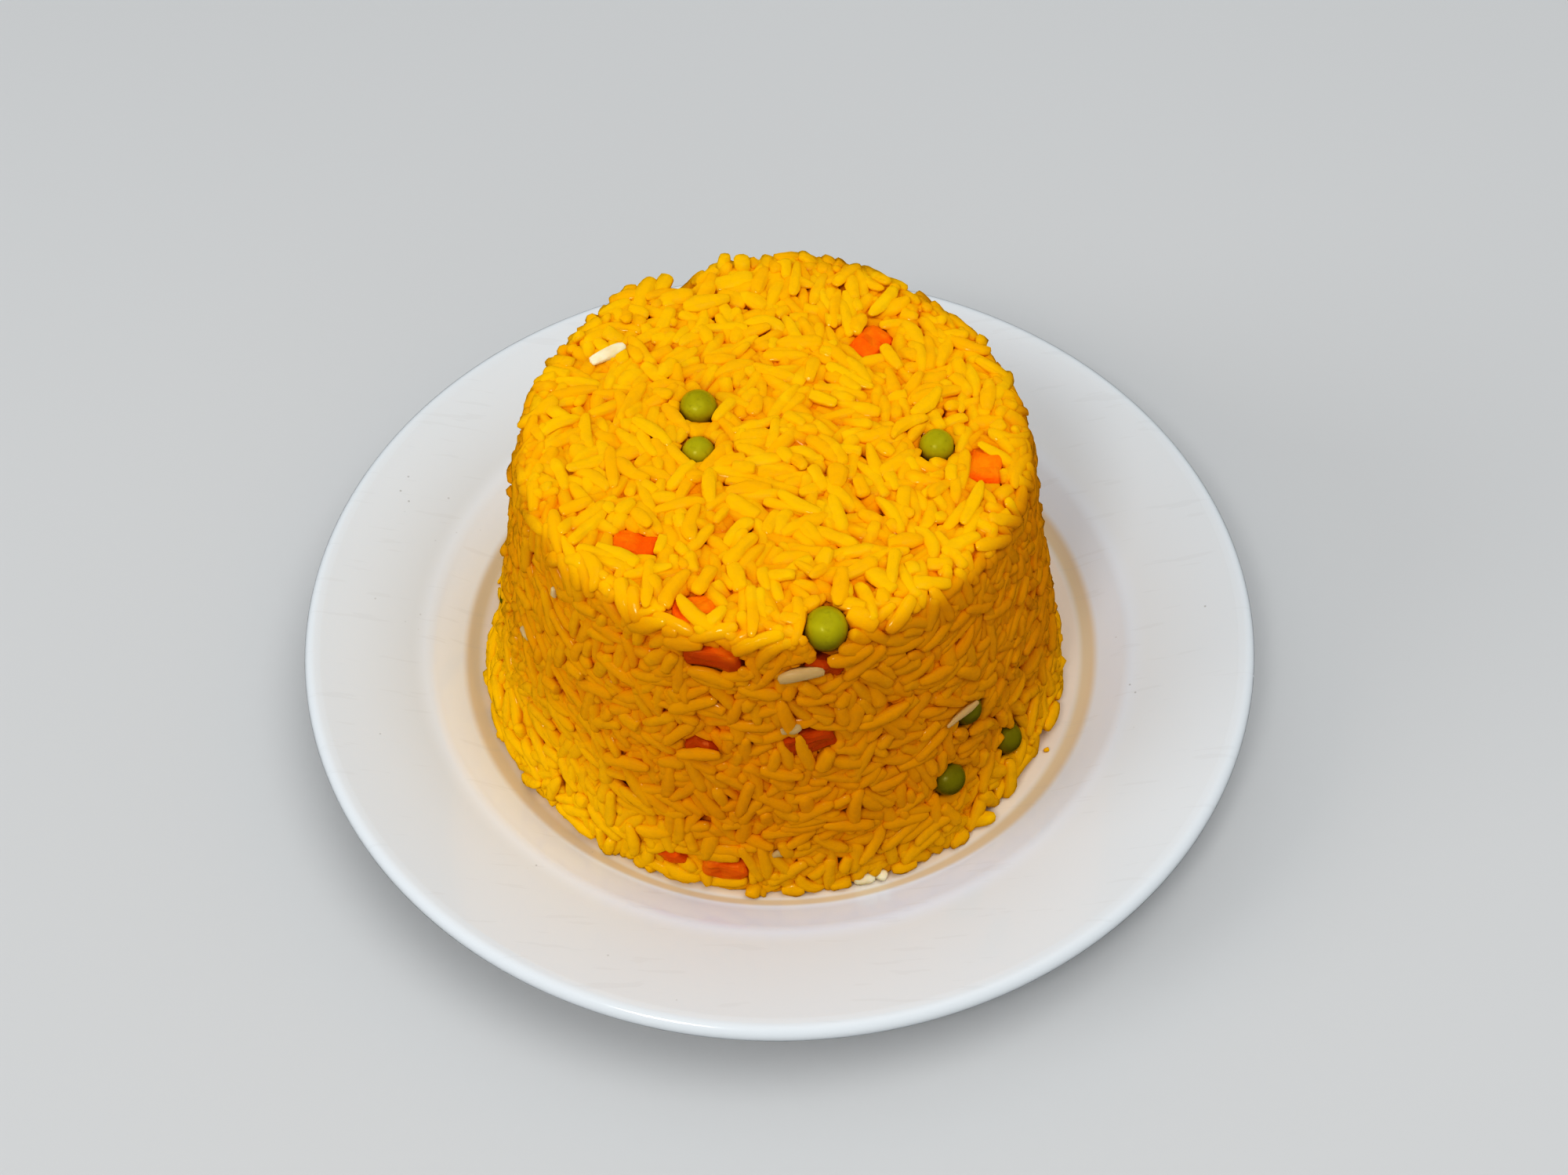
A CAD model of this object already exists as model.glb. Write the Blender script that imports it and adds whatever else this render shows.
# Yellow rice turned out of its mould onto a white plate: the looks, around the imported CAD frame.
# Metres, +Z up, the origin at the centre of the plate's foot. -Y is the side that faces the diner.

import math

import bmesh
import bpy
import numpy as np
from mathutils import Euler, Matrix, Vector, noise


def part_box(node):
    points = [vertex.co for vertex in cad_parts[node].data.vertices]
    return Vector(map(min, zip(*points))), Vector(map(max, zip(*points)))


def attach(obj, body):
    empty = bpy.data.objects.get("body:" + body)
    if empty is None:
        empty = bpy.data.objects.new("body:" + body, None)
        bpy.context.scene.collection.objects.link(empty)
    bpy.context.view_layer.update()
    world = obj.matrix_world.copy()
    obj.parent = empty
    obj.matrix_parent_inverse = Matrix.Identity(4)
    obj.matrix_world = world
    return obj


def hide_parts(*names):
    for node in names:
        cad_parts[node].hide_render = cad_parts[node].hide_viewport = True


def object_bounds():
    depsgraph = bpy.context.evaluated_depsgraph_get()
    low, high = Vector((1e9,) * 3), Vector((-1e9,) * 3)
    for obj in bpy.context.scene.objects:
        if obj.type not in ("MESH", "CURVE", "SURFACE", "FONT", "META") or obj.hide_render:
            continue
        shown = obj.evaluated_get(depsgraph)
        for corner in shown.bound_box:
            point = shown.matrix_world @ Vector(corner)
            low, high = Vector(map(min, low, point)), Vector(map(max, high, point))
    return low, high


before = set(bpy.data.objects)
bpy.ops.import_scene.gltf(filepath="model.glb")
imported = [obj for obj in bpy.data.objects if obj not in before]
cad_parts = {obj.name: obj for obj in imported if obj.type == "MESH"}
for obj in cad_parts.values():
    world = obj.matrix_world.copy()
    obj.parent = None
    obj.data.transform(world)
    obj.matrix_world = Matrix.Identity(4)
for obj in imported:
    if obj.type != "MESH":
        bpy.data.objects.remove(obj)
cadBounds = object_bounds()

mm = 0.001
dice = np.random.default_rng(7)  # one seeded source for every random choice

# The moulded heap, in mm and degrees, with heights from its foot
heap = {
    "centre": (-0.6, -4.0),
    # outline of the wall: height, radius
    "wall": [(-4, 62.0), (0, 61.9), (7, 61.4), (15, 59.4), (36, 55.8), (62, 51.8), (72, 50.0), (80, 48.6)],
    "top": 72.0,
    "foot": 61.9,  # radius
    "edge": 4.2,  # radius of the rounded top edge
    "lean": 10.0,  # how far the wall leans in
    # where it was pulled out or pushed in: azimuth, height, reach round, climb, outward move
    "dents": [
        (114, 71, 6, 7, -7.0),
        (99, 73, 7, 5, 2.0),
        (84, 73, 8, 5, 1.6),
        (128, 71, 9, 5, 1.4),
        (-33, 20, 15, 9, -2.6),
        (-54, 9, 5, 8, 1.6),
        (-50, 8, 2.6, 2.6, -4.5),
        (-20, 3, 14, 5, 1.2),
        (196, 6, 22, 7, 1.2),
    ],
    "dentStart": 30.0,  # radius inside which the dents fade out
    # gap in the back edge: azimuth, radius, reach round, width, depth
    "notch": (114, 46, 6, 4, 3.2),
    # the plate under it: distance from the plate's middle, height from the plate's foot
    "well": [(60, 8.5), (65.5, 8.5), (67.5, 8.75), (68.5, 9.05), (70.2, 9.87), (74, 12.22)],
}
# Patches where the rice came apart: azimuth of the middle, and where each fades round the heap, up the
# wall and along the radius
patches = {
    "torn": {"azimuth": -33, "reach": (15, 19), "climb": (27, 33), "setBack": 1.1},
    "slumped": {"azimuth": 208, "reach": (36, 50), "climb": (9, 16)},
    "ragged": {"azimuth": 104, "reach": (34, 52), "climb": (62, 68), "radius": (34, 44)},
}
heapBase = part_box("rice_mound")[0].z / mm
cadTop = cadBounds[1][2] / mm


# shader helpers
def operator(kind):
    # an operator and its reflected form
    def straight(wire, other):
        return wire.finish.node("ShaderNodeMath", {"operation": kind}, {0: wire, 1: other})

    def reflected(wire, other):
        return wire.finish.node("ShaderNodeMath", {"operation": kind}, {0: other, 1: wire})

    return straight, reflected


class Wire:
    # an output socket that adds, scales and divides like a number

    def __init__(self, finish, socket):
        self.finish = finish
        self.socket = socket

    __add__, __radd__ = operator("ADD")
    __sub__, __rsub__ = operator("SUBTRACT")
    __mul__, __rmul__ = operator("MULTIPLY")
    __truediv__, __rtruediv__ = operator("DIVIDE")
    __pow__, __rpow__ = operator("POWER")

    def __abs__(self):
        return self.finish.node("ShaderNodeMath", {"operation": "ABSOLUTE"}, {0: self})


class Finish:
    # one procedural material

    def __init__(self, name):
        self.material = bpy.data.materials.new(name)
        self.material.use_nodes = True
        self.tree = self.material.node_tree
        self.tree.nodes.clear()

    def node(self, kind, settings=None, sockets=None, output=0):
        made = self.tree.nodes.new(kind)
        for key, value in (settings or {}).items():
            setattr(made, key, value)
        for key, value in (sockets or {}).items():
            socket = made.inputs[key]
            if isinstance(value, Wire):
                self.tree.links.new(value.socket, socket)
            else:
                socket.default_value = (*value, 1) if socket.type == "RGBA" else value
        return Wire(self, made.outputs[output]) if len(made.outputs) else None

    def place(self):
        return self.node("ShaderNodeTexCoord", output=3)

    def axis(self, number):
        # one Object coordinate: 0 across, 1 along, 2 up
        return self.node("ShaderNodeSeparateXYZ", None, {0: self.place()}, output=number)

    def stretched(self, scale):
        return self.node("ShaderNodeMapping", None, {"Vector": self.place(), "Scale": scale})

    def noise(self, scale, detail=2, roughness=0.5, vector=None):
        return self.node("ShaderNodeTexNoise", None, {
            "Vector": vector or self.place(), "Scale": scale, "Detail": detail, "Roughness": roughness})

    def band(self, value, low, high):
        # 0 below low, 1 above high, smooth between
        return self.node("ShaderNodeMapRange", {"interpolation_type": "SMOOTHSTEP", "clamp": True},
                         {"Value": value, "From Min": low, "From Max": high})

    def attribute(self, name):
        return self.node("ShaderNodeAttribute", {"attribute_name": name}, output=2)

    def mix(self, factor, first, second, blend="MIX"):
        return self.node("ShaderNodeMix", {"data_type": "RGBA", "blend_type": blend, "clamp_factor": True},
                         {0: factor, 6: first, 7: second}, output=2)

    def bump(self, height, distance, strength=1.0):
        return self.node("ShaderNodeBump", None,
                         {"Height": height, "Distance": distance, "Strength": strength})

    def surface(self, **sockets):
        shader = self.node("ShaderNodeBsdfPrincipled", None, sockets)
        self.node("ShaderNodeOutputMaterial", None, {"Surface": shader})
        return self.material


def nodesNamed(start):
    return sorted(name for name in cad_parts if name.startswith(start))


def linked(name, data):
    item = bpy.data.objects.new(name, data)
    bpy.context.scene.collection.objects.link(item)
    return item


def meshFrom(bm, name):
    mesh = bpy.data.meshes.new(name)
    bm.to_mesh(mesh)
    bm.free()
    return mesh


def vectorsOf(items, key):
    values = np.empty(len(items) * 3, np.float32)
    items.foreach_get(key, values)
    return values.reshape(-1, 3).astype(float)


def unit(vectors, least=0):
    return vectors / np.maximum(np.linalg.norm(vectors, axis=1), least)[:, None]


def paint(mesh, name, values):
    # one number for each vertex, which a material can read
    layer = mesh.attributes.new(name, "FLOAT", "POINT")
    layer.data.foreach_set("value", values.astype(np.float32))


# the heap's outline
def roundFrom(middle, azimuth):
    # degrees round the heap from the middle of a dent or patch, from -180 to 180
    return (azimuth - middle + 180) % 360 - 180


def dentAt(azimuth, height, radius):
    move = np.zeros_like(azimuth)
    for middle, level, reach, climb, depth in heap["dents"]:
        across = roundFrom(middle, azimuth)
        move += depth * np.exp(-(across / reach) ** 2 - ((height - level) / climb) ** 2)
    return move * np.clip((radius - heap["dentStart"]) / (heap["foot"] - heap["dentStart"]), 0, None)


def notchDepth(azimuth, radius):
    middle, level, reach, width, depth = heap["notch"]
    across = roundFrom(middle, azimuth)
    return depth * np.exp(-(across / reach) ** 2 - ((radius - level) / width) ** 2)


def swell(value, low, high):
    # 0 below low, 1 above high, smooth between
    share = np.clip((value - low) / (high - low), 0, 1)
    return share * share * (3 - 2 * share)


def lowShare(name, height, azimuth):
    # 1 in a patch low on the wall, 0 elsewhere
    patch = patches[name]
    across = roundFrom(patch["azimuth"], azimuth)
    return (1 - swell(np.abs(across), *patch["reach"])) * (1 - swell(height, *patch["climb"]))


def raggedShare(height, azimuth, radius):
    # 1 along the torn top edge at the back
    patch = patches["ragged"]
    across = roundFrom(patch["azimuth"], azimuth)
    near = 1 - swell(np.abs(across), *patch["reach"])
    return near * swell(height, *patch["climb"]) * swell(radius, *patch["radius"])


def outlineDepth(points):
    # how far inside the moulded outline each point lies (mm), and the way out of it
    sideways = points[:, :2] - np.array(heap["centre"])
    height = points[:, 2] - heapBase
    radius = np.hypot(sideways[:, 0], sideways[:, 1])
    azimuth = np.degrees(np.arctan2(sideways[:, 1], sideways[:, 0]))
    levels, radii = zip(*heap["wall"])
    wall = np.interp(height, levels, radii) + dentAt(azimuth, height, radius)
    wall -= patches["torn"]["setBack"] * lowShare("torn", height, azimuth)
    lean = math.radians(heap["lean"])
    wallDepth = (wall - radius) * math.cos(lean)
    topDepth = heap["top"] - height - notchDepth(azimuth, radius)
    flat = sideways / np.maximum(radius, 1e-6)[:, None]
    wallOut = np.column_stack([flat * math.cos(lean), np.full(len(points), math.sin(lean))])
    topOut = np.zeros_like(points)
    topOut[:, 2] = 1
    edge = heap["edge"]
    wallShare = np.clip(edge - wallDepth, 0, None)
    topShare = np.clip(edge - topDepth, 0, None)
    both = (wallShare > 0) & (topShare > 0)
    depth = np.where(both, edge - np.hypot(wallShare, topShare), np.minimum(wallDepth, topDepth))
    out = np.where((wallDepth < topDepth)[:, None], wallOut, topOut)
    rounded = wallOut * wallShare[:, None] + topOut * topShare[:, None]
    out = unit(np.where(both[:, None], rounded, out), 1e-9)
    return depth, out, height, azimuth, radius


def wellHeight(points):
    reach, level = zip(*heap["well"])
    return np.interp(np.hypot(points[:, 0], points[:, 1]), reach, level)


# packing the grains
grainKinds = {
    # in mm: length and its spread, width, thickness, bend; then bluntness of the ends and share of all
    "riceWhole": (9.0, 1.0, 3.15, 2.9, 0.55, 0.5, 0.31),
    "riceLong": (10.4, 0.9, 2.9, 2.7, 0.8, 0.6, 0.22),
    "riceBent": (9.5, 1.0, 3.0, 2.75, 1.5, 0.54, 0.18),
    "riceBroken": (5.8, 1.4, 3.0, 2.8, 0.35, 0.42, 0.21),
    "riceBurst": (7.2, 1.2, 3.8, 2.7, 0.6, 0.4, 0.08),
}
# Where the grains start and how they lie, in mm and radians. Pairs are a mean and a spread, or a range
sowing = {
    "layers": [(2200, 1.5), (2100, 2.9), (300, 4.8)],  # how many grains and how deep their middles start
    "even": (0.7548776662, 0.5698402910),  # steps that spread any number of places evenly
    "topRadius": 48.0,
    "wallRadius": 56,
    "belowTop": 1.5,  # how far below the top the wall's grains end
    "stray": 0.7,
    "lengthRange": (-1.8, 1.8),  # in spreads of the length
    "size": (1, 0.06), "sizeRange": (0.86, 1.14),
    "onTop": 0.7,  # how far up the way out points on the top
    "swirl": 3.2, "swirlSize": 26,  # grains on the top turn with their neighbours
    "topLie": 0.75, "wallLie": 1.15,
    "topTilt": 0.32, "wallTilt": 0.16,
    "topSteep": 0.18, "wallSteep": 0.12, "tornSteep": 0.3, "steepTilt": 0.75,
    "topProud": (0.1, 0.6), "wallProud": (0.05, 0.5),
    "tornProud": (0.1, 1.1), "slumpProud": (0.5, 0.6), "raggedProud": (0.5, 0.7),
    "proudRange": (-2.2, 1.9),
}
# How the grains are pressed together: each is a row of beads, and distances are in mm
packing = {
    "beads": (-1.0, -0.34, 0.34, 1.0),
    "tips": 0.8,  # radius of the end beads
    "steps": 110,
    "recount": 6,  # steps between searches for neighbours
    "margin": 0.9,  # spare reach of a search
    "squeeze": 0.62,  # how near two grains may come, as cooked rice gives way
    "coreDepth": 6.4, "coreFirm": 0.5,  # grains deeper than this are pushed back out
    "pull": (0.06, 0.05, 0.03),  # how fast each layer is pressed towards the mould
    "onPlate": 0.9,  # share of a bead that stays above the plate
    "overPea": 0.1, "overDie": 0.6,  # how far grains may lap over an edge
    "peaClear": 0.9,  # how well the view of a pea is kept open
    "dieReach": 9,
    "ease": 0.55, "longest": 0.9, "stride": 1.6,
}
# Grains that have their own place: kind, middle in mm, direction, length and width in mm
placedLook = {"flatness": 0.9, "proud": 2.4}
placedGrains = [
    # undyed grains and flakes
    ("riceWhite", (-33.9, 17.4, 81.0), (5.8, 3.4, 0.6), 8.2, 2.9),
    ("riceWhite", (4.1, -55.4, 71.0), (8.6, 0.8, 1.4), 9.0, 2.8),
    ("riceWhite", (35.9, -47.0, 45.6), (1.0, 0.85, 0.16), 8.6, 1.5),
    ("riceWhite", (-50.9, -26.8, 46.5), (0.4, -0.9, 0.1), 3.6, 2.0),
    ("riceWhite", (-42.9, -34.0, 69.0), (0.1, -0.2, 1.0), 3.4, 1.6),
    ("riceWhite", (2.2, -57.6, 56.5), (1.0, 0.1, 0.3), 4.2, 2.4),
    ("riceWhite", (-0.7, -63.6, 21.2), (1.0, 0.2, 0.4), 2.4, 1.8),
    ("riceWhite", (16.9, -62.8, 9.8), (1.0, 0.2, 0.0), 4.6, 2.6),
    ("riceWhite", (20.0, -61.8, 9.8), (1.0, -0.4, 0.1), 3.6, 2.4),
    # clumps that stand up along the torn back edge
    ("riceWhole", (-11.0, 42.6, 79.2), (0.1, 0.3, 1.0), 8.0, 3.8),
    ("riceWhole", (-7.2, 42.2, 79.3), (0.1, 0.2, 1.0), 8.2, 3.9),
    ("riceBurst", (-8.8, 37.6, 80.8), (1.0, 0.2, 0.1), 8.8, 4.4),
    ("riceBroken", (-13.9, 40.4, 79.9), (1.0, 0.6, 0.5), 6.2, 3.7),
    ("riceLong", (-14.4, 34.8, 81.2), (0.4, 1.0, 0.1), 9.8, 3.3),
    ("riceWhole", (-14.2, 31.4, 81.3), (1.0, 0.3, 0.0), 10.2, 3.5),
    ("riceWhole", (-20.6, 33.4, 80.7), (1.0, 0.2, 0.1), 7.6, 3.6),
    ("riceWhole", (-27.2, 34.2, 80.9), (0.3, 1.0, 0.1), 9.4, 3.7),
    ("riceBroken", (-23.6, 37.4, 80.4), (0.6, 1.0, 0.3), 6.8, 3.5),
    ("riceWhole", (-2.2, 42.4, 79.0), (0.2, 1.0, 0.3), 8.2, 3.8),
    ("riceWhole", (-33.0, 31.2, 79.8), (1.0, 0.5, 0.1), 7.6, 3.6),
    # grains that lap over a pea and two dice
    ("riceWhole", (43.2, -37.0, 24.6), (0.15, 0.1, 1.0), 8.4, 3.2),
    ("riceWhole", (13.3, -53.0, 73.4), (1.0, 0.28, 0.18), 9.2, 3.2),
    ("riceLong", (-15.6, -57.4, 48.0), (1.0, -0.25, 0.3), 9.4, 2.9),
    # grains and crumbs that came loose round the foot
    ("riceWhole", (40.4, -49.4, 10.5), (1.0, 0.2, 0.0), 8.8, 3.6),
    ("riceBroken", (36.8, -53.5, 10.2), (0.7, 0.7, 0.0), 5.2, 3.5),
    ("riceBroken", (25.4, -60.0, 10.2), (1.0, 0.3, 0.0), 6.2, 3.3),
    ("riceBroken", (12.2, -63.8, 10.1), (1.0, 0.2, 0.1), 5.2, 3.2),
    ("riceBroken", (2.6, -65.2, 10.1), (1.0, 0.1, 0.1), 5.4, 3.2),
    ("riceBroken", (-5.6, -64.8, 10.1), (0.3, 1.0, 0.1), 4.6, 3.2),
    ("riceLong", (-62.2, 11.0, 9.5), (0.5, -1.0, 0.0), 7.2, 1.7),
    ("riceBroken", (-64.1, 16.6, 9.3), (0.2, 1.0, 0.0), 2.0, 1.5),
    ("riceBroken", (56.8, -31.2, 9.0), (1.0, 0.3, 0.0), 1.3, 1.0),
]
# Places that the grains leave open: middle and radius in mm
openPlaces = [
    ((9.0, -53.6, 74.4), 2.2),  # between the front pea and the die under it
]


def wayAlong(out):
    # two directions at right angles to the way out: level, and up the surface. Where the way out is
    # steep the first one starts from the X axis
    level = np.column_stack([-out[:, 1], out[:, 0], np.zeros(len(out))])
    size = np.linalg.norm(level, axis=1)
    steep = size < 0.5
    level[steep] = (1, 0, 0)
    level = unit(level, 1e-9)
    level = unit(level - out * np.sum(level * out, axis=1)[:, None])
    return level, np.cross(out, level)


def spreadOver(count, depth, skip):
    # places spread evenly over the top and the wall at a depth below the outline
    topArea = math.pi * sowing["topRadius"] ** 2
    wallTop = heap["top"] - sowing["belowTop"]
    wallArea = math.tau * sowing["wallRadius"] * wallTop
    topShare = topArea / (topArea + wallArea)
    wallShare = wallArea / (topArea + wallArea)
    number = np.arange(count) + skip
    first = (number * sowing["even"][0]) % 1
    second = (number * sowing["even"][1]) % 1
    onTop = first < topShare
    share = np.where(onTop, first / topShare, (first - topShare) / wallShare)
    angle = second * math.tau
    levels, radii = zip(*heap["wall"])
    height = np.where(onTop, heap["top"] - depth, share * wallTop)
    onWall = np.interp(height, levels, radii) - depth
    radius = np.where(onTop, np.sqrt(share) * sowing["topRadius"], onWall)
    centre = heap["centre"]
    points = np.column_stack([centre[0] + radius * np.cos(angle), centre[1] + radius * np.sin(angle),
                              heapBase + height])
    points += dice.normal(0, sowing["stray"], points.shape)
    return points


def nearPairs(points, owner, reach):
    # every pair of beads of two different grains that are closer than reach
    cell = np.floor(points / reach).astype(np.int64)
    cell -= cell.min(0) - 1
    size = cell.max(0) + 2
    key = (cell[:, 0] * size[1] + cell[:, 1]) * size[2] + cell[:, 2]
    order = np.argsort(key, kind="stable")
    ranked = key[order]
    here = np.arange(len(points))
    pairs = []
    steps = [(x, y, z) for x in (0, 1) for y in (-1, 0, 1) for z in (-1, 0, 1) if (x, y, z) >= (0, 0, 0)]
    for step in steps:
        shift = (step[0] * size[1] + step[1]) * size[2] + step[2]
        start = np.searchsorted(ranked, ranked + shift, "left")
        stop = np.searchsorted(ranked, ranked + shift, "right")
        if shift == 0:
            start = here + 1
        count = np.maximum(stop - start, 0)
        first = np.repeat(here, count)
        before = np.repeat(np.cumsum(count) - count, count)
        second = np.arange(count.sum()) - before + np.repeat(start, count)
        pairs.append((order[first], order[second]))
    first, second = np.concatenate(pairs, axis=1)
    apart = owner[first] != owner[second]
    first, second = first[apart], second[apart]
    close = np.linalg.norm(points[first] - points[second], axis=1) < reach
    return first[close], second[close]


def gathered(index, moves, count):
    return np.column_stack([np.bincount(index, moves[:, axis], count) for axis in range(3)])


def makeGrains():
    # where every grain starts: kind, middle, direction, sizes and how proud of the mould it may stand
    rows = np.array(list(grainKinds.values())).T
    lengths, spreads, widths, thicks = rows[:4]
    shares = rows[-1]
    middles = []
    layer = []
    skip = 0
    for number, (count, depth) in enumerate(sowing["layers"]):
        middles.append(spreadOver(count, depth, skip))
        layer.append(np.full(count, number))
        skip += count
    middle = np.concatenate(middles)
    layer = np.concatenate(layer)
    count = len(middle)
    kind = dice.choice(len(shares), count, p=shares)
    length = lengths[kind] + spreads[kind] * np.clip(dice.normal(size=count), *sowing["lengthRange"])
    size = np.clip(dice.normal(*sowing["size"], count), *sowing["sizeRange"])
    width = widths[kind] * size
    thick = thicks[kind] * size
    depth, out, height, azimuth, radius = outlineDepth(middle)
    level, climb = wayAlong(out)
    onTop = out[:, 2] > sowing["onTop"]
    swirl = np.array([noise.noise(Vector(place / sowing["swirlSize"])) for place in middle])
    swirl *= sowing["swirl"]
    topLie = swirl + dice.normal(0, sowing["topLie"], count) + math.pi / 2
    wallLie = dice.normal(0, sowing["wallLie"], count)
    lie = np.where(onTop, topLie, wallLie)
    torn = lowShare("torn", height, azimuth)
    lie = np.where(torn > 0.5, dice.uniform(0, math.pi, count), lie)
    tilt = dice.normal(0, np.where(onTop, sowing["topTilt"], sowing["wallTilt"]), count)
    steepShare = np.where(onTop, sowing["topSteep"], sowing["wallSteep"]) + sowing["tornSteep"] * torn
    steep = dice.random(count) < steepShare
    tilt = np.where(steep, dice.normal(0, sowing["steepTilt"], count), tilt)
    direction = level * np.cos(lie)[:, None] + climb * np.sin(lie)[:, None]
    direction = direction * np.cos(tilt)[:, None] + out * np.sin(tilt)[:, None]
    topProud = dice.normal(*sowing["topProud"], count)
    wallProud = dice.normal(*sowing["wallProud"], count)
    proud = np.where(onTop, topProud, wallProud)
    proud += torn * dice.normal(*sowing["tornProud"], count)
    proud += lowShare("slumped", height, azimuth) * np.abs(dice.normal(*sowing["slumpProud"], count))
    proud += raggedShare(height, azimuth, radius) * np.abs(dice.normal(*sowing["raggedProud"], count))
    proud = np.clip(proud, *sowing["proudRange"])
    return {"kind": kind, "layer": layer, "middle": middle, "direction": direction, "length": length,
            "width": width, "thick": thick, "proud": proud, "fixed": np.zeros(count, bool)}


def addPlaced(grains):
    # the grains with a place of their own join the others and stay where they are
    names = list(grainKinds)
    for kind, middle, direction, length, width in placedGrains:
        extra = {"kind": len(names) if kind == "riceWhite" else names.index(kind), "layer": 0,
                 "middle": middle, "direction": direction, "length": length, "width": width,
                 "thick": width * placedLook["flatness"], "proud": placedLook["proud"], "fixed": True}
        for key, value in extra.items():
            grains[key] = np.concatenate([grains[key], np.array([value], grains[key].dtype)])
    grains["direction"] = unit(grains["direction"])
    return grains


def toppingSolids():
    # the peas and the open places as balls and the carrot dice as the planes of their faces, in mm
    balls = []
    blocks = []
    for middle, radius in openPlaces:
        balls.append((np.array(middle), radius, outlineDepth(np.array([middle]))[1][0]))
    for name in nodesNamed("pea_"):
        low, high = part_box(name)
        centre = np.array((low + high) / 2) / mm
        balls.append((centre, max(high - low) / 2 / mm, outlineDepth(centre[None, :])[1][0]))
    for name in nodesNamed("carrot_"):
        low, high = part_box(name)
        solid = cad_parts[name].data
        starts = np.array([solid.vertices[face.vertices[0]].co for face in solid.polygons]) / mm
        normals = np.array([face.normal for face in solid.polygons])
        offsets = np.array([normal @ start for normal, start in zip(normals, starts)])
        blocks.append((np.array((low + high) / 2) / mm, normals, offsets))
    return balls, blocks


def clearOfToppings(points, radii, balls, blocks):
    # moves that free the peas, with the way out over each, and the dice
    move = np.zeros_like(points)
    for centre, radius, out in balls:
        away = points - centre
        away -= out * np.clip(away @ out, 0, None)[:, None] * packing["peaClear"]
        gap = np.linalg.norm(away, axis=1)
        over = np.clip(radius + radii - packing["overPea"] - gap, 0, None)
        move += away / np.maximum(gap, 1e-6)[:, None] * over[:, None]
    for centre, normals, offsets in blocks:
        near = np.nonzero(np.linalg.norm(points - centre, axis=1) < packing["dieReach"])[0]
        if len(near) == 0:
            continue
        gaps = points[near] @ normals.T - offsets
        face = np.argmax(gaps, axis=1)
        over = np.clip(radii[near] - packing["overDie"] - gaps[np.arange(len(near)), face], 0, None)
        move[near] += normals[face] * over[:, None]
    return move


def packGrains(grains):
    # presses the grains against the mould, the plate, the peas and carrots and each other until they fit
    balls, blocks = toppingSolids()
    share = np.array(packing["beads"])
    beads = len(share)
    count = len(grains["middle"])
    middle = grains["middle"].copy()
    direction = grains["direction"].copy()
    bead = (grains["width"] + grains["thick"]) / 4
    half = grains["length"] / 2 - bead * packing["tips"]
    radii = np.repeat(bead, beads) * np.tile(np.where(np.abs(share) == 1, packing["tips"], 1.0), count)
    owner = np.repeat(np.arange(count), beads)
    proud = np.repeat(grains["proud"], beads)
    pull = np.repeat(np.array(packing["pull"])[grains["layer"]], beads)
    free = (~grains["fixed"])[:, None]
    reach = 2 * radii.max() + packing["margin"]
    for step in range(packing["steps"]):
        arms = direction[:, None, :] * (half[:, None] * share[None, :])[:, :, None]
        points = (middle[:, None, :] + arms).reshape(-1, 3)
        if step % packing["recount"] == 0:
            first, second = nearPairs(points, owner, reach)
        apart = points[second] - points[first]
        gap = np.linalg.norm(apart, axis=1)
        over = (radii[first] + radii[second]) * packing["squeeze"] - gap
        touch = over > 0
        push = apart[touch] / np.maximum(gap[touch], 1e-6)[:, None] * (0.5 * over[touch])[:, None]
        move = gathered(second[touch], push, len(points)) - gathered(first[touch], push, len(points))
        depth, out = outlineDepth(points)[:2]
        beyond = radii - proud - depth
        move -= out * np.clip(beyond, 0, None)[:, None]
        move += out * np.clip(depth - packing["coreDepth"], 0, None)[:, None] * packing["coreFirm"]
        move += out * np.clip(-beyond, 0, pull)[:, None]
        move[:, 2] += np.clip(wellHeight(points) + radii * packing["onPlate"] - points[:, 2], 0, None)
        move += clearOfToppings(points, radii, balls, blocks)
        move = move.reshape(count, beads, 3) * packing["ease"]
        longest = np.linalg.norm(move, axis=2, keepdims=True)
        move *= np.minimum(1, packing["longest"] / np.maximum(longest, 1e-9))
        middle += move.mean(axis=1) * packing["stride"] * free
        turn = np.cross(arms, move).sum(axis=1) / np.maximum((arms ** 2).sum(axis=(1, 2)), 1e-6)[:, None]
        direction = unit(direction + np.cross(turn, direction) * free)
    grains["middle"] = middle
    grains["direction"] = direction
    print("packed", count, "grains, deepest overlap", round(float(over.max()), 2), "mm")
    return grains


# grain meshes
grainShape = {
    "around": 8, "along": 8,
    "breakAt": 0.78, "breakSlant": 0.12,  # where a broken grain ends, as a share of half its length
    "tile": ((0.06, 0.88), (0.5, 0.47)),  # its UVs in its tile: left and width, middle and half height
    "roll": 0.35,  # spread in radians
    "taper": 0.1,
    # how uneven it is, and how fast that turns along it: oval, three-sided and along its length
    "waves": (0.08, 0.07, 0.06), "twists": (2.2, 3.1, 5.5),
    "rough": 0.035,
    "sway": 0.55, "lift": 0.3, "bendMiddle": 0.35,  # shares of its bend sideways and up
}


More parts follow.
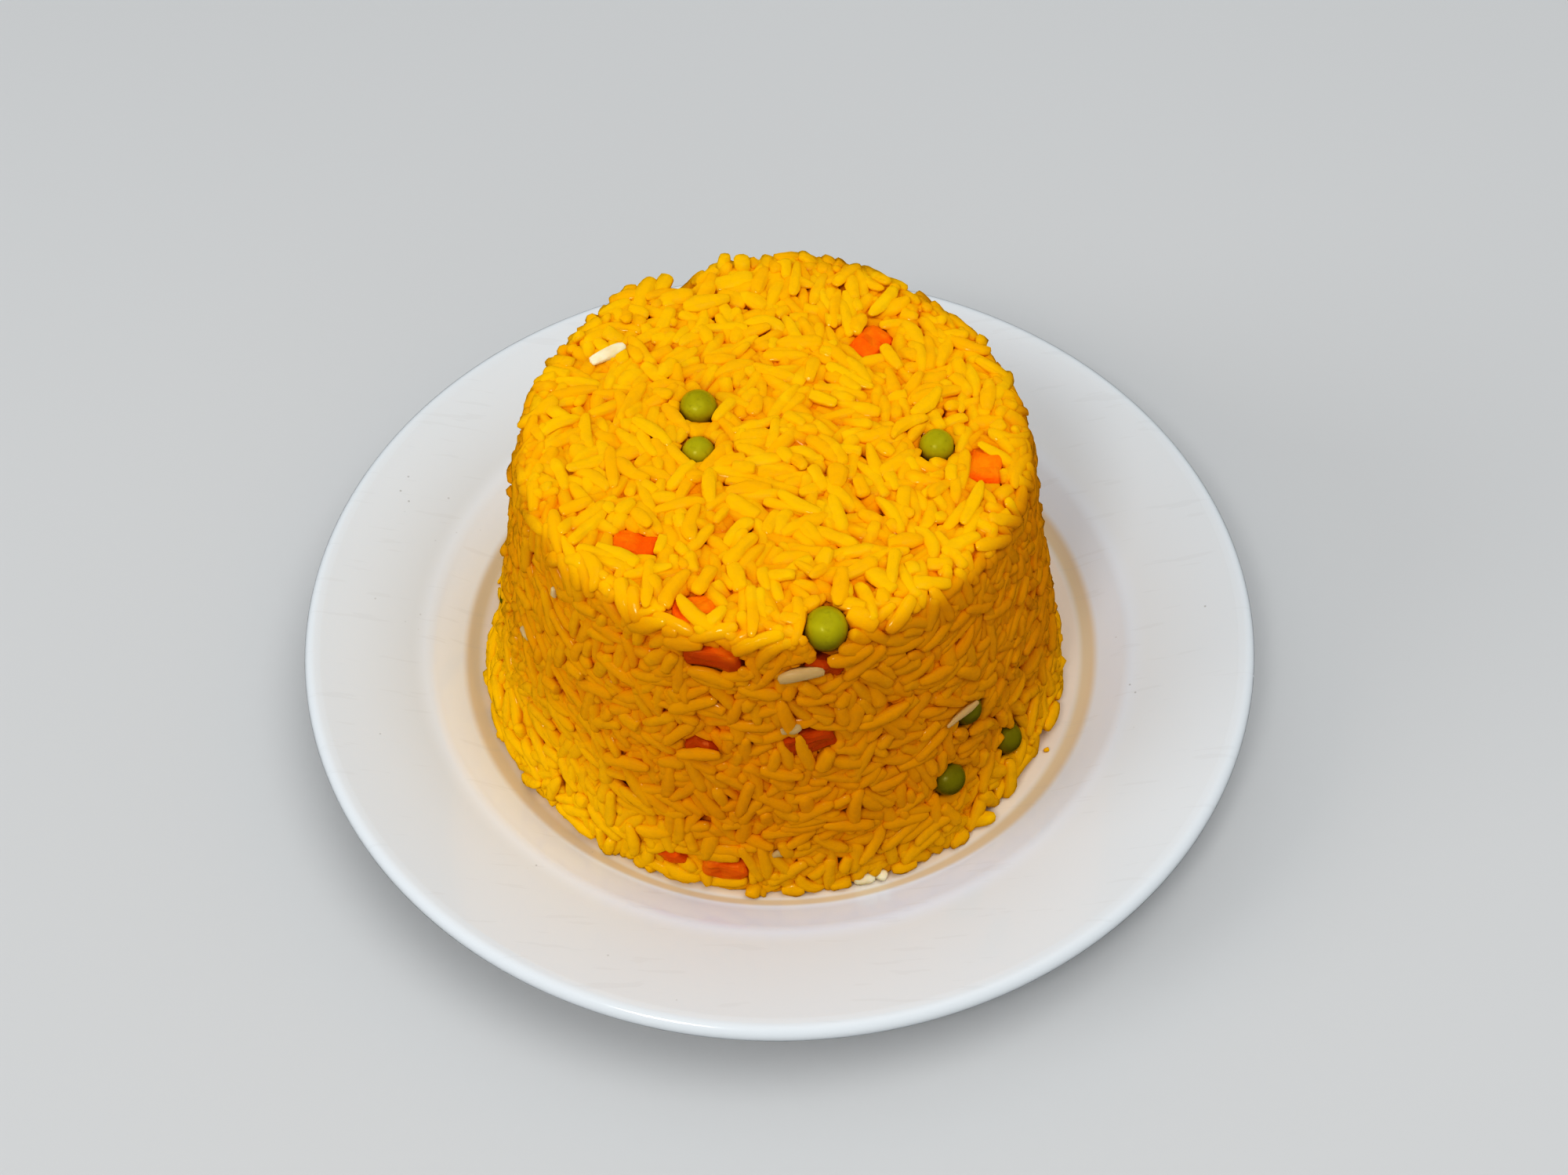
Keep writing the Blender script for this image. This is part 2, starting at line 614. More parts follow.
def grainTemplate(broken):
    # a unit grain along Z from a sphere, with its own small UV tile
    bm = bmesh.new()
    bmesh.ops.create_uvsphere(bm, u_segments=grainShape["around"], v_segments=grainShape["along"], radius=1)
    if broken:
        for vert in bm.verts:
            vert.co.z = min(vert.co.z, grainShape["breakAt"] - grainShape["breakSlant"] * vert.co.x)
    (left, wide), (level, high) = grainShape["tile"]
    tile = bm.loops.layers.uv.new("OFBake")
    for face in bm.faces:
        turns = [math.atan2(loop.vert.co.y, loop.vert.co.x) / math.tau % 1 for loop in face.loops]
        middle = math.atan2(face.calc_center_median().y, face.calc_center_median().x) / math.tau % 1
        for loop, turn in zip(face.loops, turns):
            atPole = math.hypot(loop.vert.co.x, loop.vert.co.y) < 0.01
            turn = middle if atPole else middle + (turn - middle + 0.5) % 1 - 0.5
            loop[tile].uv = (left + wide * turn, level + high * loop.vert.co.z)
    return meshFrom(bm, "grainTemplate")


def joinedCopies(template, count, name):
    bm = bmesh.new()
    for _ in range(count):
        bm.from_mesh(template)
    return meshFrom(bm, name)


def grainPoints(template, bend, blunt, grains, chosen):
    # every vertex of the chosen grains in mm, bent, tapered and uneven in its own way
    ball = vectorsOf(template.vertices, "co")
    along = ball[:, 2]
    ring = np.hypot(ball[:, 0], ball[:, 1])
    turn = np.arctan2(ball[:, 1], ball[:, 0])
    count = len(chosen)
    middle = grains["middle"][chosen]
    direction = grains["direction"][chosen]
    out = outlineDepth(middle)[1]
    roll = dice.normal(0, grainShape["roll"], count)
    up = unit(out - direction * np.sum(out * direction, axis=1)[:, None], 1e-6)
    side = np.cross(direction, up)
    turned = up * np.cos(roll)[:, None] + side * np.sin(roll)[:, None]
    side = side * np.cos(roll)[:, None] - up * np.sin(roll)[:, None]
    taper = dice.normal(0, grainShape["taper"], count)[:, None]
    wave = dice.uniform(0, math.tau, (count, 3))
    oval, threeSided, lengthWave = grainShape["waves"]
    slow, middling, fast = grainShape["twists"]
    fullness = np.power(np.maximum(ring, 1e-6), blunt)[None, :] * (ring > 0.01)
    fullness = fullness * (1 + taper * along)
    fullness = fullness * (1 + oval * np.sin(2 * turn + wave[:, :1] + slow * along)
                           + threeSided * np.sin(3 * turn - middling * along + wave[:, 1:2])
                           + lengthWave * np.sin(fast * along + wave[:, 2:]))
    fullness = fullness * dice.normal(1, grainShape["rough"], (count, len(ball)))
    sway = bend * dice.normal(0, 1, count)[:, None] * grainShape["sway"]
    lift = bend * dice.normal(0, grainShape["lift"], count)[:, None]
    curve = along ** 2 - grainShape["bendMiddle"]
    sideways = fullness * np.sin(turn) * grains["width"][chosen][:, None] / 2 + sway * curve
    upward = fullness * np.cos(turn) * grains["thick"][chosen][:, None] / 2 + lift * curve
    lengthways = along[None, :] * grains["length"][chosen][:, None] / 2
    return (middle[:, None, :] + direction[:, None, :] * lengthways[:, :, None]
            + side[:, None, :] * sideways[:, :, None] + turned[:, None, :] * upward[:, :, None])


mould = {
    # how firmly it flattens what stands beyond it
    "onTop": 0.3, "onWall": 0.5, "apart": 0.85,  # the last one is how much less where the rice came apart
    "slack": 0.1,  # mm
    "overPlate": 0.02, "underTop": 0.1,  # mm left at the plate and at the top of the CAD box
}


def pressed(points, proud):
    # flattens what stands beyond the mould, hard on the wall and softly on the top
    shape = points.shape
    flat = points.reshape(-1, 3)
    depth, out, height, azimuth, radius = outlineDepth(flat)
    free = lowShare("torn", height, azimuth) + lowShare("slumped", height, azimuth)
    free = free + raggedShare(height, azimuth, radius)
    firm = np.where(out[:, 2] > sowing["onTop"], mould["onTop"], mould["onWall"])
    firm = firm * (1 - mould["apart"] * np.clip(free, 0, 1))
    allowed = np.repeat(proud, shape[1]) + mould["slack"]
    beyond = np.clip(-depth - allowed, 0, None)
    flat = flat - out * (beyond * firm)[:, None]
    flat[:, 2] = np.maximum(flat[:, 2], wellHeight(flat) + mould["overPlate"])
    flat[:, 2] = np.minimum(flat[:, 2], cadTop - mould["underTop"])
    depth = outlineDepth(flat)[0]
    return flat.reshape(shape), depth


riceLook = {
    "bright": (0.865, 0.505, 0.003), "deep": (0.865, 0.435, 0.002), "pale": (0.92, 0.61, 0.01),
    "wall": (0.58, 0.20, 0.0005),  # where it was pressed against the side of the mould
    "core": (0.80, 0.29, 0.0004),  # deep between the grains
    "foot": (0.95, 0.555, 0.003),  # low down, most of all on the left
    "sheen": (1.0, 0.85, 0.4),
    "paleShare": 0.35, "wallShare": 0.7,
    "blotches": 190, "wet": 420, "shine": 620, "ripples": 1100,  # noise scales
    "ripple": 0.00016, "roughness": 0.24, "rougher": 0.22, "coat": 0.65,
    "buried": (-0.8, 3.6),  # depth in mm where it starts, and how much deeper it is whole
    "side": (0.3, 0.9),  # how far up a surface faces where the wall's colour starts to end and ends
    "sideLeft": 0.35, "left": (0.2, 0.8),  # less of it on the left
    "loose": (1.5, 3.0),  # mm out from the mould where it ends too
    "footLow": 0.010, "footHigh": 0.028, "footClimb": 0.022,  # metres, the last more on the left
    "footLeftFrom": (0.01, 0.045), "footRightFrom": (0.03, 0.05),
    "footShare": 0.45, "footLeft": 0.45, "footRight": 0.15,
    "soften": (0.4, 1.0),  # on the wall and on the top
    "softenFrom": (0.2, 0.9), "softenTurned": 0.5,
}
whiteRice = {
    "blunt": 0.48, "bend": 0.15,
    "bright": (0.92, 0.82, 0.60), "deep": (0.86, 0.70, 0.42), "blotches": 260, "ripples": 500,
    "dull": (0.54, 0.36, 0.15), "dullFrom": (0.012, 0.016),  # on the wall, from this height in metres
}


def finishMesh(mesh, material, name, nodes):
    mesh.materials.clear()
    mesh.materials.append(material)
    if not mesh.has_custom_normals:
        mesh.shade_smooth()
    item = linked(name, mesh)
    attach(item, "root")
    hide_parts(*nodes)
    return item


def soften(mesh, places):
    # light passes through cooked rice, so its shading follows the heap a little and not only the grain
    mesh.update()
    normals = vectorsOf(mesh.vertex_normals, "vector")
    out = outlineDepth(places)[1]
    facing = np.clip(np.sum(normals * out, axis=1) + riceLook["softenTurned"], 0, 1)
    share = np.interp(out[:, 2], riceLook["softenFrom"], riceLook["soften"])
    mixed = unit(normals + out * (share * facing)[:, None])
    mesh.shade_smooth()
    mesh.normals_split_custom_set_from_vertices(mixed.tolist())


def buildGrainPiece(name, bend, blunt, grains, chosen, material):
    template = grainTemplate(name == "riceBroken")
    points = grainPoints(template, bend, blunt, grains, chosen)
    points, depth = pressed(points, grains["proud"][chosen])
    mesh = joinedCopies(template, len(chosen), name)
    mesh.vertices.foreach_set("co", (points.reshape(-1, 3) * mm).astype(np.float32).ravel())
    paint(mesh, "grainTint", np.repeat(dice.random(len(chosen)), len(template.vertices)))
    start, span = riceLook["buried"]
    paint(mesh, "buried", np.clip((depth - start) / span, 0, 1))
    out = outlineDepth(points.reshape(-1, 3))[1]
    side = 1 - swell(out[:, 2], *riceLook["side"])
    side *= 1 - riceLook["sideLeft"] * swell(-out[:, 0], *riceLook["left"])
    side *= 1 - swell(-depth.ravel(), *riceLook["loose"])
    paint(mesh, "pressedSide", side)
    soften(mesh, points.reshape(-1, 3))
    tiles = mesh.uv_layers["OFBake"].uv
    places = np.empty(len(tiles) * 2, np.float32)
    tiles.foreach_get("vector", places)
    across = math.ceil(math.sqrt(len(chosen)))
    places = places.reshape(len(chosen), -1, 2)
    number = np.arange(len(chosen))
    offset = np.column_stack([number % across, number // across])[:, None, :]
    places = (places + offset) / across
    tiles.foreach_set("vector", places.astype(np.float32).ravel())
    mesh.update()
    finishMesh(mesh, material, name, ["rice_mound"])
    bpy.data.meshes.remove(template)


def riceMaterial(name):
    finish = Finish(name)
    look = riceLook
    tint = finish.attribute("grainTint")
    buried = finish.attribute("buried")
    blotch = finish.band(finish.noise(look["blotches"]), 0.55, 0.75)
    grain = finish.mix(tint, look["bright"], look["deep"])
    grain = finish.mix(blotch * look["paleShare"], grain, look["pale"])
    grain = finish.mix(finish.attribute("pressedSide") * look["wallShare"], grain, look["wall"])
    grain = finish.mix(finish.band(buried, 0.15, 0.8), grain, look["core"])
    left = finish.band(0 - finish.axis(0), *look["footLeftFrom"])
    right = finish.band(finish.axis(0), *look["footRightFrom"])
    low = 1 - finish.band(finish.axis(2), look["footLow"], look["footHigh"] + left * look["footClimb"])
    foot = low * (look["footShare"] + left * look["footLeft"] + right * look["footRight"])
    grain = finish.mix(foot, grain, look["foot"])
    wet = finish.band(finish.noise(look["wet"]), 0.4, 0.7)
    ripple = finish.noise(look["ripples"]) * 0.35 + finish.noise(look["wet"], 1)
    return finish.surface(**{
        "Base Color": grain,
        "Roughness": look["roughness"] + wet * look["rougher"],
        "Normal": finish.bump(ripple, look["ripple"], 0.6),
        "Specular IOR Level": 0.04,
        "Specular Tint": look["sheen"],
        "Coat Weight": finish.band(finish.noise(look["shine"]), 0.45, 0.6) * look["coat"],
        "Coat Roughness": 0.17,
    })


def buildRice():
    grains = packGrains(addPlaced(makeGrains()))
    material = riceMaterial("cookedYellowRice")
    for number, (name, kind) in enumerate(grainKinds.items()):
        bend, blunt = kind[4:6]
        chosen = np.nonzero(grains["kind"] == number)[0]
        buildGrainPiece(name, bend, blunt, grains, chosen, material)
    print("rice kinds built")
    chosen = np.nonzero(grains["kind"] == len(grainKinds))[0]
    buildGrainPiece("riceWhite", whiteRice["bend"], whiteRice["blunt"], grains, chosen, whiteRiceMaterial())


def whiteRiceMaterial():
    finish = Finish("undyedRice")
    blotch = finish.noise(whiteRice["blotches"])
    shade = finish.mix(finish.band(blotch, 0.4, 0.7), whiteRice["deep"], whiteRice["bright"])
    dull = finish.attribute("pressedSide") * finish.band(finish.axis(2), *whiteRice["dullFrom"])
    shade = finish.mix(dull, shade, whiteRice["dull"])
    return finish.surface(**{
        "Base Color": shade,
        "Roughness": 0.3 + blotch * 0.15,
        "Normal": finish.bump(finish.noise(whiteRice["ripples"]), 0.0001, 0.6),
        "Subsurface Weight": 0.4,
        "Subsurface Radius": (1.0, 0.7, 0.4),
        "Subsurface Scale": 0.0015,
    })


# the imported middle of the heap
core = {
    "around": 150, "rings": 90,
    "depth": 3.3,  # mm inside the heap's outline
    "topRadius": 45.5, "shoulder": (47.4, 1.9),  # where its top ends, and the radius and drop of its edge
    "wallTo": 66,
    "ragged": 3.0,  # mm lower along the torn back edge
    "lumps": 0.8, "lumpSize": 4.0, "fineLumps": 0.5, "fineSize": 0.45,
    "clumps": 240, "grit": 520,  # noise scales
    "bright": (0.95, 0.45, 0.001), "deep": (0.92, 0.35, 0.001), "sheen": (1.0, 0.74, 0.12),
}


def buildCore():
    # a sphere whose rings are led in over the top, down the wall and across the floor
    bm = bmesh.new()
    bmesh.ops.create_uvsphere(bm, u_segments=core["around"], v_segments=core["rings"], radius=1)
    depth = core["depth"]
    top = heap["top"] - depth
    shoulder, drop = core["shoulder"]
    across, along = heap["centre"]
    outline = [(0, top), (core["topRadius"], top), (shoulder, top - drop)]
    wall = [(radius - depth, level) for level, radius in heap["wall"] if 0 < level < core["wallTo"]]
    outline += [*reversed(wall), (heap["foot"] - depth, 0), (0, 0)]
    reach = [0.0]
    for before, after in zip(outline, outline[1:]):
        reach.append(reach[-1] + math.dist(before, after))
    for vert in bm.verts:
        share = math.acos(max(-1, min(1, vert.co.z))) / math.pi
        angle = math.atan2(vert.co.y, vert.co.x)
        ring = np.interp(share * reach[-1], reach, [p[0] for p in outline])
        level = np.interp(share * reach[-1], reach, [p[1] for p in outline])
        place = Vector((ring * math.cos(angle), ring * math.sin(angle), level))
        bulge = core["lumps"] * noise.noise(place / core["lumpSize"])
        fine = noise.noise(place / (core["fineSize"] * core["lumpSize"]))
        bulge += core["fineLumps"] * core["lumps"] * fine
        height = np.array([level])
        azimuth = np.array([math.degrees(angle)])
        bulge += float(dentAt(azimuth, height, np.array([ring]))[0])
        bulge -= core["ragged"] * float(raggedShare(height + depth, azimuth, np.array([ring + depth]))[0])
        bulge -= patches["torn"]["setBack"] * float(lowShare("torn", height, azimuth)[0])
        bulge = min(bulge, core["lumps"])
        onWall = level < top - 1
        if level > 0.01:
            place += Vector((math.cos(angle), math.sin(angle), 0) if onWall else (0, 0, 1)) * bulge
        vert.co = Vector((place.x + across, place.y + along, place.z + heapBase)) * mm
    bmesh.ops.remove_doubles(bm, verts=bm.verts, dist=0.00001)
    bmesh.ops.recalc_face_normals(bm, faces=bm.faces)
    mesh = meshFrom(bm, "riceCore")
    finish = Finish("packedRice")
    clump = finish.noise(core["clumps"], 3)
    shade = finish.mix(finish.band(clump, 0.35, 0.65), core["deep"], core["bright"])
    material = finish.surface(**{
        "Base Color": shade,
        "Roughness": 0.4 + clump * 0.15,
        "Normal": finish.bump(finish.noise(core["grit"], 3), 0.0004, 0.8),
        "Specular IOR Level": 0.3,
        "Specular Tint": core["sheen"],
    })
    finishMesh(mesh, material, "riceCore", ["rice_mound"])
    print("core built")


# peas
pea = {
    "around": 28, "rings": 20,
    "squat": 0.03,
    "uneven": 0.012, "unevenness": 2.2, "skin": 0.006, "skinScale": 9,
    "flats": 3, "flatAt": 0.93, "flatness": 0.7,  # soft dents where the skin has sunk
    "scar": 0.05, "scarSize": 0.02,  # where it hung in the pod
    "clouds": 160, "dots": 900, "pits": 700,  # noise scales
    "colour": (0.385, 0.335, 0.004), "dark": (0.2, 0.175, 0.002), "light": (0.47, 0.42, 0.008),
    "sheen": (1.0, 0.95, 0.45),
    "soaked": (0.14, 0.125, 0.001), "soakedTo": (0.045, 0.07),  # low in the heap, heights in metres
    "under": (0.105, 0.072, 0.001), "underFrom": (-0.7, 0.35),  # the darker lower side
}


def buildPeas():
    bm = bmesh.new()
    underside = bm.verts.layers.float.new("underside")
    names = nodesNamed("pea_")
    for number, name in enumerate(names):
        low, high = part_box(name)
        centre = (low + high) / 2
        radius = max(high - low) / 2
        turned = Euler(dice.uniform(0, math.tau, 3)).to_matrix().to_4x4()
        made = bmesh.ops.create_uvsphere(bm, u_segments=pea["around"], v_segments=pea["rings"],
                                         radius=radius)
        flats = [Vector(dice.normal(size=3)).normalized() for _ in range(pea["flats"])]
        seed = Vector((number * 7.3, 0, 0))
        for vert in made["verts"]:
            way = vert.co.normalized()
            size = 1 - pea["squat"] * way.z ** 2
            size += pea["uneven"] * noise.noise(way * pea["unevenness"] + seed)
            size += pea["skin"] * noise.noise(way * pea["skinScale"] + seed)
            for flat in flats:
                reach = way.dot(flat)
                if reach * size > pea["flatAt"]:
                    size -= (reach * size - pea["flatAt"]) * pea["flatness"]
            size -= pea["scar"] * math.exp(-(1 - way.z) / pea["scarSize"])
            vert.co = way * radius * size
        bmesh.ops.transform(bm, matrix=Matrix.Translation(centre) @ turned, verts=made["verts"])
        for vert in made["verts"]:
            vert[underside] = swell((centre.z - vert.co.z) / radius, *pea["underFrom"])
    mesh = meshFrom(bm, "peas")
    finish = Finish("peaSkin")
    cloud = finish.noise(pea["clouds"], 3)
    fine = finish.noise(pea["dots"])
    skin = finish.mix(finish.band(cloud, 0.35, 0.7), pea["colour"], pea["light"])
    skin = finish.mix(finish.band(fine, 0.55, 0.8) * 0.35, skin, pea["dark"])
    low = 1 - finish.band(finish.axis(2), *pea["soakedTo"])
    skin = finish.mix(low * 0.8, skin, pea["soaked"])
    skin = finish.mix(finish.attribute("underside") * 0.85, skin, pea["under"])
    material = finish.surface(**{
        "Base Color": skin,
        "Roughness": 0.22 + cloud * 0.14,
        "Normal": finish.bump(finish.noise(pea["pits"], 3), 0.00012, 0.5),
        "Specular IOR Level": 0.5,
        "Specular Tint": pea["sheen"],
        "Subsurface Weight": 0.15,
        "Subsurface Radius": (0.8, 1.0, 0.1),
        "Subsurface Scale": 0.0008,
    })
    finishMesh(mesh, material, "peas", names)
    print("peas built", len(names))


# carrot dice
carrot = {
    "sink": 1.1,  # mm further into the heap than the CAD block
    "cut": 2, "smooth": 5, "softness": 0.35,  # how its edges are worn
    "waver": 0.9, "waverSize": 2.2,  # mm
    "streaks": 170, "fibres": 700,  # noise scales
    "bright": (0.95, 0.28, 0.002), "deep": (0.90, 0.15, 0.001), "sheen": (1.0, 0.6, 0.2),
    "soaked": (0.42, 0.05, 0.001), "soakedTo": (0.073, 0.0775),  # below the top, heights in metres
    "foot": (0.02, 0.04), "footSoaked": 0.4,  # less so at the foot
}


def buildCarrots():
    joined = bmesh.new()
    names = nodesNamed("carrot_")
    for number, name in enumerate(names):
        bm = bmesh.new()
        bm.from_mesh(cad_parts[name].data)
        bmesh.ops.remove_doubles(bm, verts=bm.verts, dist=0.00002)
        bmesh.ops.recalc_face_normals(bm, faces=bm.faces)
        bmesh.ops.subdivide_edges(bm, edges=list(bm.edges), cuts=carrot["cut"], use_grid_fill=True)
        for _ in range(carrot["smooth"]):
            bmesh.ops.smooth_vert(bm, verts=bm.verts, factor=carrot["softness"], use_axis_x=True,
                                  use_axis_y=True, use_axis_z=True)
        seed = Vector((number * 3.1, 5, 0))
        low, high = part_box(name)
        centre = (low + high) / 2
        out = Vector(outlineDepth(np.array([centre]) / mm)[1][0])
        sunk = centre - out * carrot["sink"] * mm
        bmesh.ops.translate(bm, verts=bm.verts, vec=sunk - centre)
        for vert in bm.verts:
            waver = noise.noise(vert.co / (carrot["waverSize"] * mm) + seed)
            vert.co += vert.normal * carrot["waver"] * mm * waver
        piece = meshFrom(bm, "die")
        joined.from_mesh(piece)
        bpy.data.meshes.remove(piece)
    mesh = meshFrom(joined, "carrotDice")
    finish = Finish("carrotFlesh")
    streak = finish.noise(carrot["streaks"], 3, vector=finish.stretched((1, 1, 0.25)))
    fibre = finish.noise(carrot["fibres"], vector=finish.stretched((1, 1, 0.2)))
    flesh = finish.mix(finish.band(streak, 0.35, 0.65), carrot["deep"], carrot["bright"])
    height = finish.axis(2)
    aboveFoot = finish.band(height, *carrot["foot"]) * (1 - carrot["footSoaked"])
    soaked = (1 - finish.band(height, *carrot["soakedTo"])) * (carrot["footSoaked"] + aboveFoot)
    flesh = finish.mix(soaked * 0.9, flesh, carrot["soaked"])
    material = finish.surface(**{
        "Base Color": flesh,
        "Roughness": 0.25 + fibre * 0.2,
        "Normal": finish.bump(fibre, 0.0002, 0.6),
        "Specular IOR Level": 0.4,
        "Specular Tint": carrot["sheen"],
        "Subsurface Weight": 0.2,
        "Subsurface Radius": (1.0, 0.3, 0.03),
        "Subsurface Scale": 0.001,
    })
    finishMesh(mesh, material, "carrotDice", names)
    print("carrot dice built", len(names))


# plate
plate = {
    "around": 192,
    # half section in mm: radius, height, fillet radius, steps of the fillet
    "section": [
        (0, 8.5), (30, 8.5, 20, 0), (58, 8.5, 6, 0), (68, 8.5, 9, 9), (76.5, 13.77, 10, 7),
        (88, 17.07, 5, 0), (99.4, 20.31, 3, 3), (103, 21, 2.1, 8), (103, 16.2, 2.0, 6),
        (98.0, 16.41, 1.5, 2), (77.7, 10.42, 7, 6), (67.8, 3.7, 2, 3), (67, 0, 0.8, 4),
        (63.4, 0, 0.8, 4), (59.6, 3.7, 2, 3), (30, 3.7, 10, 0), (0, 3.7),
    ],
}


def filletedSection(corners):
    # the half section with its corners rounded; one with no steps stays a plain point
    points = [Vector(corners[0][:2])]
    for before, corner, after in zip(corners, corners[1:], corners[2:]):
        here = Vector(corner[:2])
        fillet, steps = corner[2:]
        back = (Vector(before[:2]) - here).normalized()
        on = (Vector(after[:2]) - here).normalized()
        if steps == 0:
            points.append(here)
            continue
        half = back.angle(on) / 2
        centre = here + (back + on).normalized() * fillet / math.sin(half)
        start = here + back * fillet / math.tan(half) - centre
        end = here + on * fillet / math.tan(half) - centre
        sweep = start.angle_signed(end)
        for step in range(steps + 1):
            points.append(centre + Matrix.Rotation(-sweep * step / steps, 2) @ start)
    points.append(Vector(corners[-1][:2]))
    return points


glaze = {
    "light": (0.75, 0.775, 0.795), "shade": (0.725, 0.75, 0.77), "clouds": 14,
    "sides": (0.02, 0.065), "front": (0.02, 0.06),  # metres from the middle
    # warm ring where the cove starts, in metres, and then in mm
    "ringAt": 0.0677, "ringRight": 0.8, "ringWide": 0.6, "ringSides": 0.75,
    "ringEdge": (0.5, 1.9), "ringWaver": 22,
    "ring": (0.68, 0.50, 0.26), "ringShare": 0.66, "ringSideShare": 0.04,
    # the rice's light on the flat inside the ring
    "flatTo": (0.0655, 0.0675), "warm": (0.80, 0.60, 0.42), "warmShare": 0.55,
    "cream": (0.96, 0.90, 0.76), "creamShare": 0.42,
    # the cove outside it, least of all on the right
    "coveFrom": (0.0675, 0.0695), "coveTo": (0.074, 0.081), "coveRight": 0.6,
    "cool": (0.77, 0.85, 1.0), "coolLeft": (0.88, 0.93, 1.0),
    "specks": 260, "speckSize": (0.03, 0.09), "speckGroups": 90, "speck": (0.30, 0.28, 0.26),
    "scuffs": 60, "scuff": (0.45, 0.44, 0.43), "scuffShare": 0.06,
    "roughness": 0.13, "ripples": 35,
}


def glazeMaterial():
    look = glaze
    finish = Finish("whiteGlaze")
    across = finish.axis(0)
    along = finish.axis(1)
    reach = (across * across + along * along) ** 0.5
    cloud = finish.noise(look["clouds"])
    white = finish.mix(cloud, look["shade"], look["light"])
    sides = finish.band(abs(across), *look["sides"])
    right = finish.band(across, *look["sides"])
    left = finish.band(0 - across, *look["sides"])
    front = finish.band(0 - along, *look["front"])
    inside = 1 - finish.band(reach, *look["flatTo"])
    white = finish.mix(inside * look["warmShare"], white, look["warm"])
    white = finish.mix(inside * front * look["creamShare"], white, look["cream"])
    cove = finish.band(reach, *look["coveFrom"]) * (1 - finish.band(reach, *look["coveTo"]))
    cool = finish.mix(left, look["cool"], look["coolLeft"])
    white = finish.mix(cove * (1 - look["coveRight"] * right), white, cool)
    waver = finish.noise(look["ringWaver"], 1) - 0.5
    offset = (reach - look["ringAt"]) / mm - right * look["ringRight"] + waver
    away = abs(offset) / (look["ringWide"] + sides * look["ringSides"])
    ring = 1 - finish.band(away, *look["ringEdge"])
    strength = ring * (look["ringShare"] + sides * look["ringSideShare"])
    white = finish.mix(strength, white, look["ring"])
    speck = finish.node("ShaderNodeTexVoronoi", {"feature": "F1"},
                        {"Vector": finish.place(), "Scale": look["specks"]})
    dots = 1 - finish.band(speck, *look["speckSize"])
    rare = finish.band(finish.noise(look["speckGroups"], 1), 0.62, 0.68)
    white = finish.mix(dots * rare * 0.5, white, look["speck"])
    scratch = finish.noise(look["scuffs"], 3, vector=finish.stretched((1, 9, 1)))
    scuff = finish.band(scratch, 0.62, 0.66)
    white = finish.mix(scuff * look["scuffShare"], white, look["scuff"])
    return finish.surface(**{
        "Base Color": white,
        "Roughness": look["roughness"] + cloud * 0.06 + scuff * 0.1,
        "Normal": finish.bump(finish.noise(look["ripples"]), 0.00025, 0.35),
        "IOR": 1.5,
        "Coat Weight": 0.3,
        "Coat Roughness": 0.06,
    })


def buildPlate():
    bm = bmesh.new()
    points = filletedSection(plate["section"])
    verts = [bm.verts.new((point.x * mm, 0, point.y * mm)) for point in points]
    edges = [bm.edges.new(pair) for pair in zip(verts, verts[1:])]
    bmesh.ops.spin(bm, geom=verts + edges, cent=(0, 0, 0), axis=(0, 0, 1), angle=math.tau,
                   steps=plate["around"], use_merge=True, use_duplicate=False)
    bmesh.ops.remove_doubles(bm, verts=bm.verts, dist=0.000001)
    bmesh.ops.recalc_face_normals(bm, faces=bm.faces)
    mesh = meshFrom(bm, "plateGlazed")
    item = finishMesh(mesh, glazeMaterial(), "plateGlazed", ["plate"])
    item.visible_glossy = False  # its white would veil the rice's colour
    print("plate built")


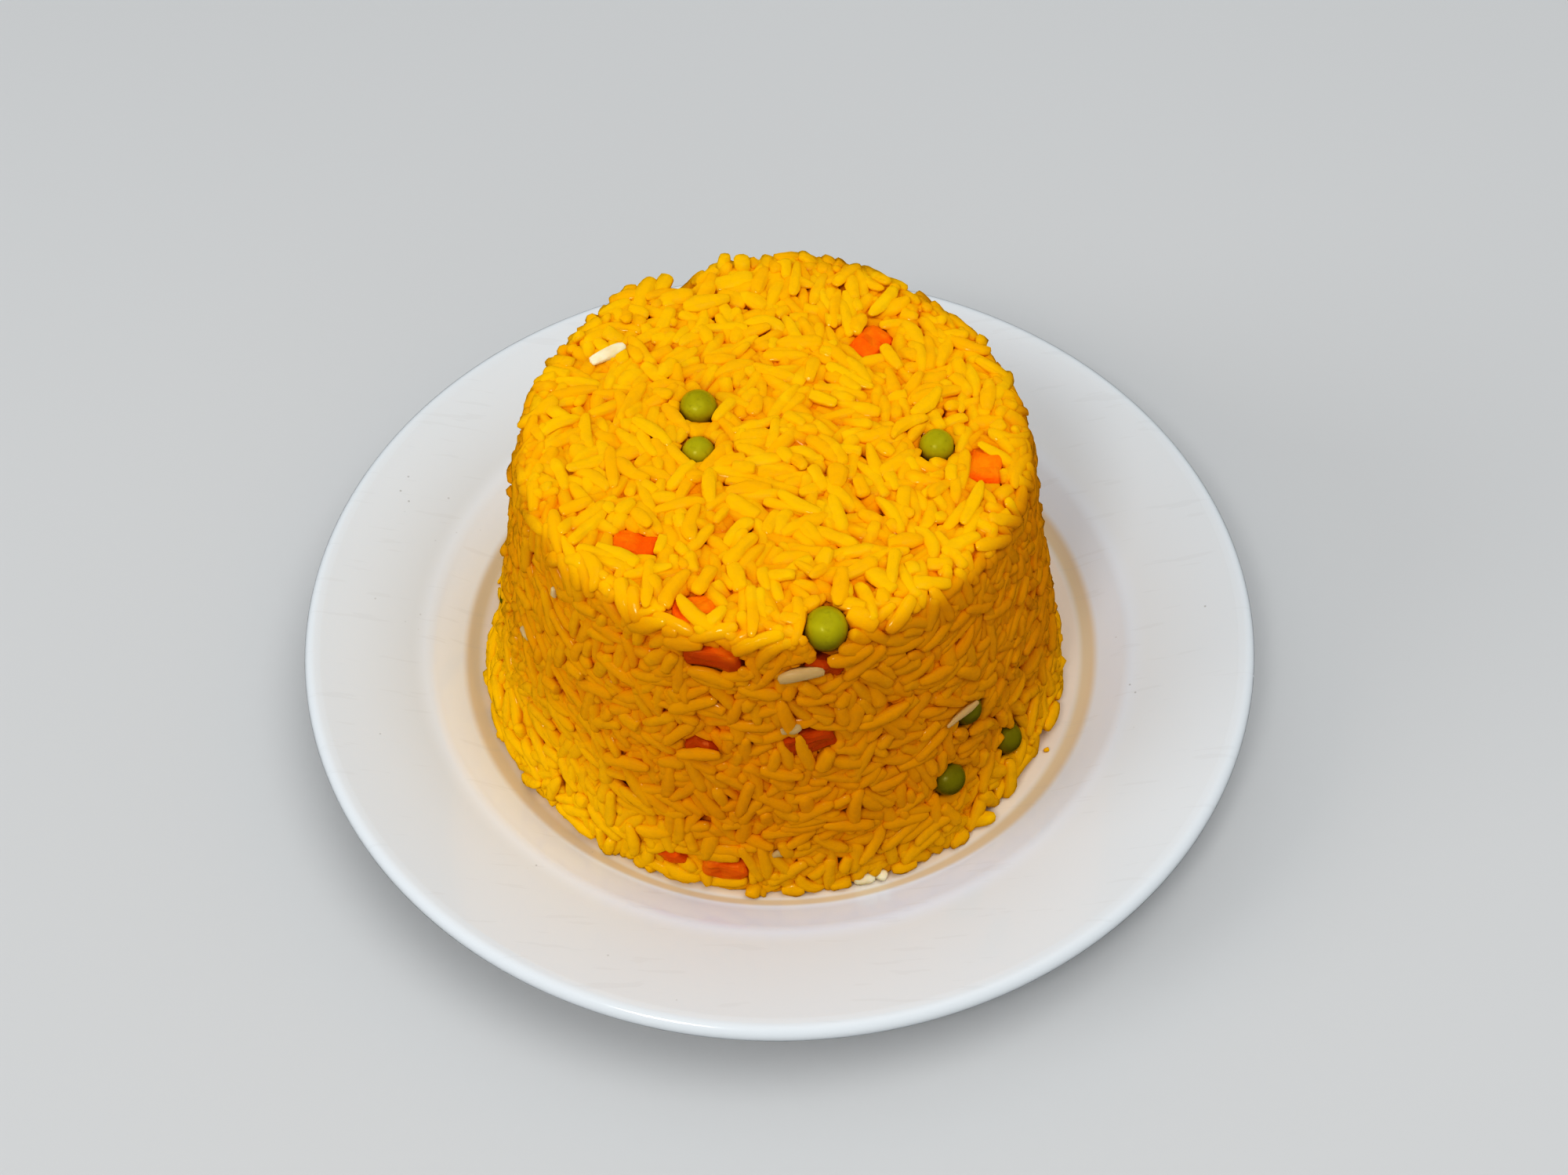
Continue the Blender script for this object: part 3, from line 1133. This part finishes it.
# stage
stage = {
    "floorSize": 6.0,
    "floor": (0.60, 0.60, 0.60), "floorClouds": (0.63, 0.63, 0.63), "clouds": 3,
    "sky": (0.93, 0.97, 1.0), "skyStrength": 0.455,
    "lamps": [
        # name, place, size, watts, colour, whether it shows in gloss
        ("overhead", (0.35, -0.22, 1.5), 1.2, 5.8, (1.0, 1.0, 0.99), False),
        ("fromLeft", (-2.4, -0.8, 1.25), 1.4, 11.9, (1.0, 1.0, 0.99), False),
        ("window", (-0.5, -1.0, 1.4), 0.36, 4.2, (1.0, 1.0, 0.99), True),
    ],
    # place in mm, tilt from straight down and roll in degrees
    "camera": {"place": (1.1, -293.1, 401.3), "tilt": 38.01, "roll": -0.577, "lens": 50.59, "sensor": 36},
}


def buildStage():
    bm = bmesh.new()
    bmesh.ops.create_grid(bm, x_segments=8, y_segments=8, size=stage["floorSize"] / 2)
    mesh = meshFrom(bm, "floor")
    finish = Finish("paleFloor")
    cloud = finish.noise(stage["clouds"])
    pale = finish.mix(cloud, stage["floor"], stage["floorClouds"])
    mesh.materials.append(finish.surface(**{"Base Color": pale, "Roughness": 0.6}))
    floor = linked("floor", mesh)
    floor.visible_glossy = False
    for name, place, size, watts, tone, inGloss in stage["lamps"]:
        lamp = bpy.data.lights.new(name, "AREA")
        lamp.shape = "DISK"
        lamp.size = size
        lamp.energy = watts
        lamp.color = tone
        item = linked(name, lamp)
        item.location = place
        item.visible_glossy = inGloss
        item.rotation_euler = Vector(place).to_track_quat("Z", "Y").to_euler()
    world = bpy.data.worlds.new("studio")
    world.use_nodes = True
    sky = world.node_tree.nodes["Background"]
    sky.inputs["Color"].default_value = (*stage["sky"], 1)
    sky.inputs["Strength"].default_value = stage["skyStrength"]
    world.cycles_visibility.glossy = False
    bpy.context.scene.world = world
    settings = stage["camera"]
    view = bpy.data.cameras.new("camera")
    view.lens = settings["lens"]
    view.sensor_width = settings["sensor"]
    view.sensor_fit = "HORIZONTAL"
    view.clip_start = 0.01
    camera = linked("camera", view)
    turned = Matrix.Rotation(math.radians(settings["tilt"]), 4, "X")
    rolled = Matrix.Rotation(math.radians(settings["roll"]), 4, "Z")
    camera.matrix_world = Matrix.Translation(Vector(settings["place"]) * mm) @ turned @ rolled
    bpy.context.scene.camera = camera
    bpy.context.scene.view_settings.view_transform = "Standard"
    bpy.context.scene.view_settings.look = "High Contrast"
    print("stage set")


buildPlate()
buildCore()
buildRice()
buildPeas()
buildCarrots()
buildStage()
